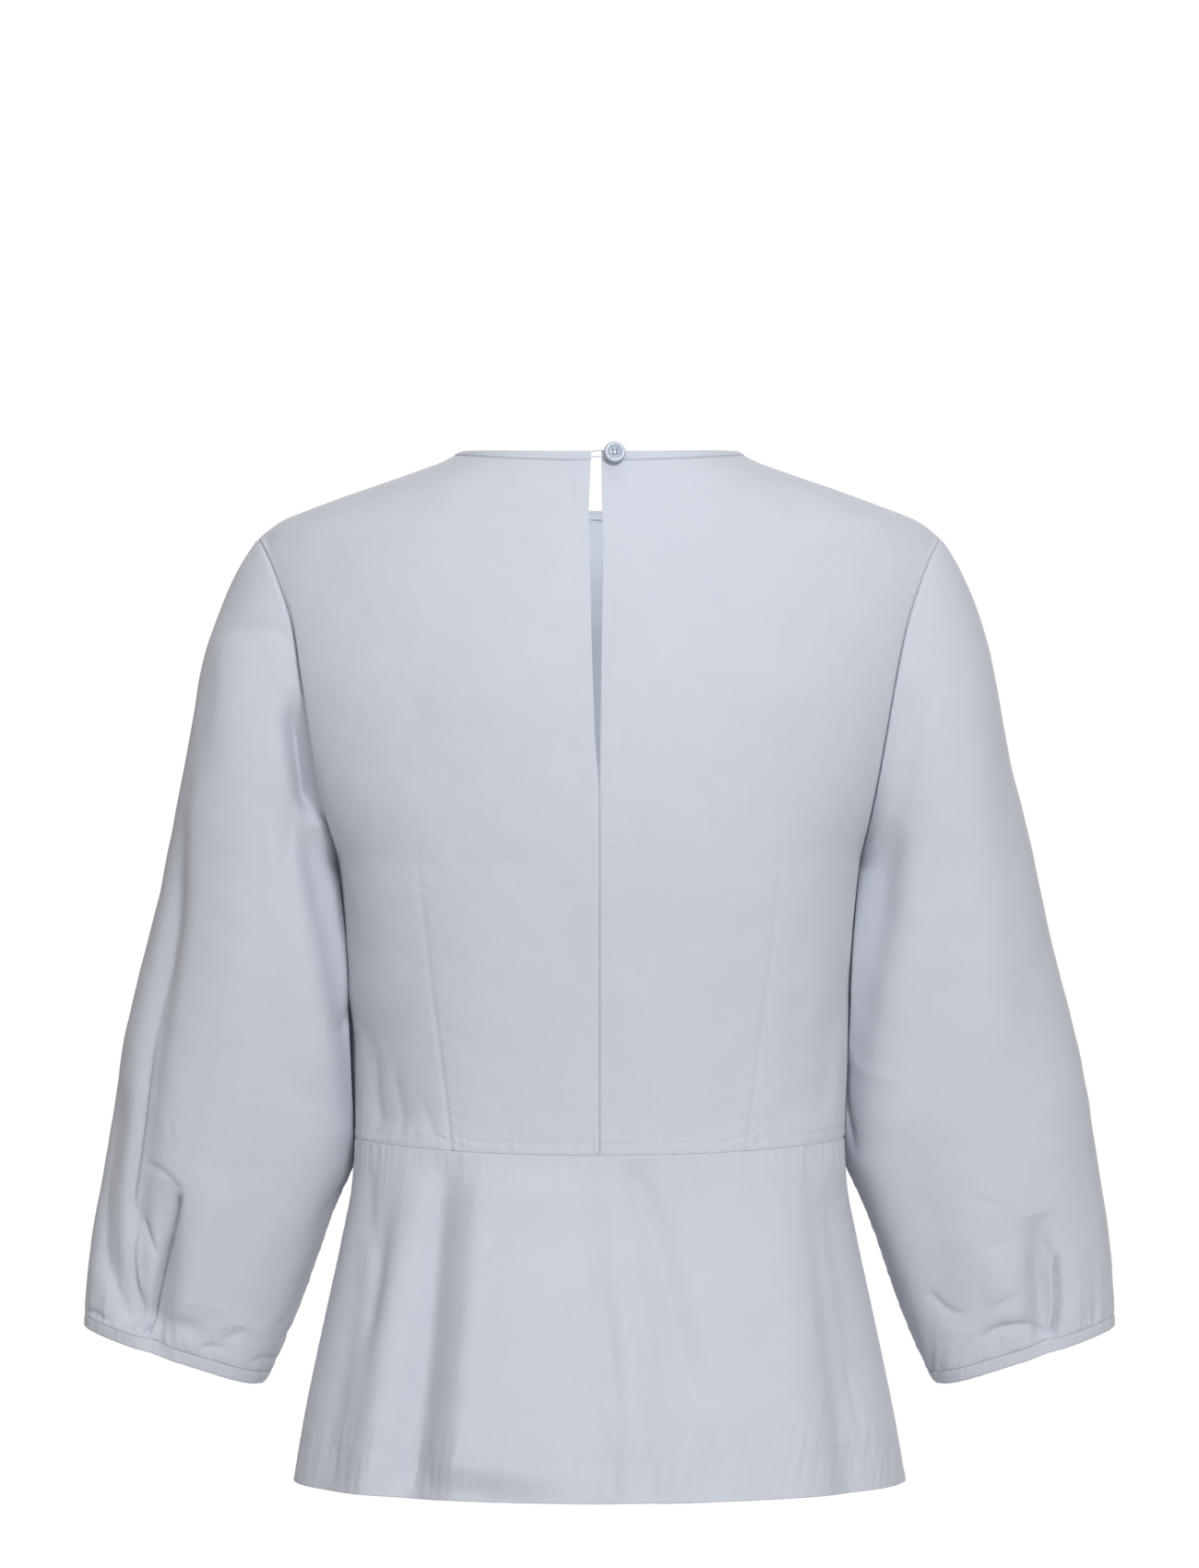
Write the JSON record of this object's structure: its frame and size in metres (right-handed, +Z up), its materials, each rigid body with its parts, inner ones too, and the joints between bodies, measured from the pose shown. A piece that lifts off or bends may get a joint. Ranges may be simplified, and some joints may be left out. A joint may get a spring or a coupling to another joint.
{
  "type": "three-quarter-sleeve peplum blouse",
  "caption": "Worn-form cotton blouse: round neck, buttoned slit and waist darts at the back, wide three-quarter sleeves pleated into narrow cuffs, flared peplum below a waist seam.",
  "frame": {"origin": "midway between the neck ends of the two shoulder seams, where the wearer's shoulders carry the blouse", "axes": "+Z up, -Y out of the back, which has the slit and the button, +Y out of the front, +X to the wearer's right"},
  "size_m": [0.5984, 0.2523, 0.5931],
  "materials": {
    "poplin": "matte, closely woven",
    "button": "satin",
    "thread": "matte cord"
  },
  "bodies": {
    "root": {"back_left": "poplin", "back_right": "poplin", "front": "poplin", "peplum_back": "poplin", "peplum_front": "poplin", "sleeve_left": "poplin", "sleeve_right": "poplin", "cuff_left": "poplin", "cuff_right": "poplin", "neck_band_left": "poplin", "neck_band_right": "poplin", "neck_band_front": "poplin", "button": "button", "button_shank": "thread", "button_loop": "thread"}
  },
  "joints": []
}
